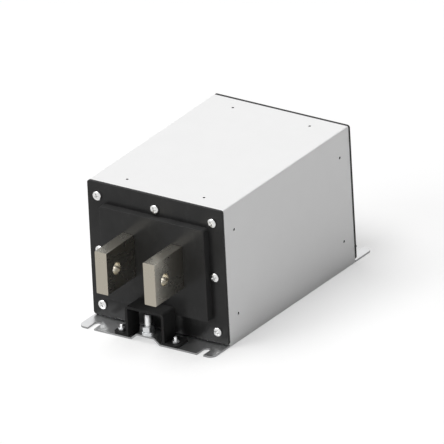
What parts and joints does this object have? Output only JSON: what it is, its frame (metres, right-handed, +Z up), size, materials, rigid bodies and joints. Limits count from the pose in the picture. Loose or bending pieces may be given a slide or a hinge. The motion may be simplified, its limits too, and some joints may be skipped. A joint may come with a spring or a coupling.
{
  "type": "emi line filter",
  "caption": "sheet-metal filter box with moulded ends, two flat terminal bars right through it, earth studs under tunnel covers and slotted mounting flanges",
  "frame": {"origin": "on the mounting plane, at the middle of the width and of the length", "axes": "Z up from the mounting plane, Y along the conductor bars with the front end towards -Y, X across"},
  "size_m": [0.1758, 0.375, 0.1628],
  "materials": {
    "cover_paint": "light grey powder coat",
    "base_plating": "bright zinc-plated sheet",
    "plate_moulding": "black moulding, semi-gloss",
    "frame_plating": "bright zinc-plated sheet",
    "screw_plating": "nickel-plated steel",
    "bar_plating": "tin-plated copper",
    "fastener_plating": "bright zinc-plated steel",
    "tunnel_moulding": "black moulding, satin",
    "former_moulding": "natural glass-filled nylon",
    "cradle_moulding": "black glass-filled nylon",
    "core_coating": "blue-grey epoxy coat over wound magnetic tape",
    "board_laminate": "green circuit board laminate",
    "line_capacitor_case": "light grey box case",
    "earth_capacitor_case": "blue box case",
    "strap_copper": "bare copper",
    "post_moulding": "natural nylon",
    "resistor_coating": "green cement coat"
  },
  "bodies": {
    "root": {"housing_cover": "cover_paint", "base_plate": "base_plating", "front_terminal_plate": "plate_moulding", "rear_terminal_plate": "plate_moulding", "front_end_frame": "frame_plating", "rear_end_frame": "frame_plating", "plate_screws": "screw_plating", "left_busbar": "bar_plating", "right_busbar": "bar_plating", "earth_studs": "fastener_plating", "earth_washers": "fastener_plating", "earth_lock_washers": "fastener_plating", "earth_nuts": "fastener_plating", "front_earth_cover": "tunnel_moulding", "rear_earth_cover": "tunnel_moulding", "cover_studs": "fastener_plating", "cover_nuts": "fastener_plating", "core_former": "former_moulding", "core_cradle": "cradle_moulding", "cradle_screws": "fastener_plating", "front_choke_core": "core_coating", "middle_choke_core": "core_coating", "rear_choke_core": "core_coating", "front_filter_board": "board_laminate", "rear_filter_board": "board_laminate", "front_line_capacitor": "line_capacitor_case", "rear_line_capacitor": "line_capacitor_case", "earth_capacitors": "earth_capacitor_case", "bar_straps": "strap_copper", "strap_screws": "fastener_plating", "board_posts": "post_moulding", "discharge_resistor": "resistor_coating"}
  },
  "joints": []
}
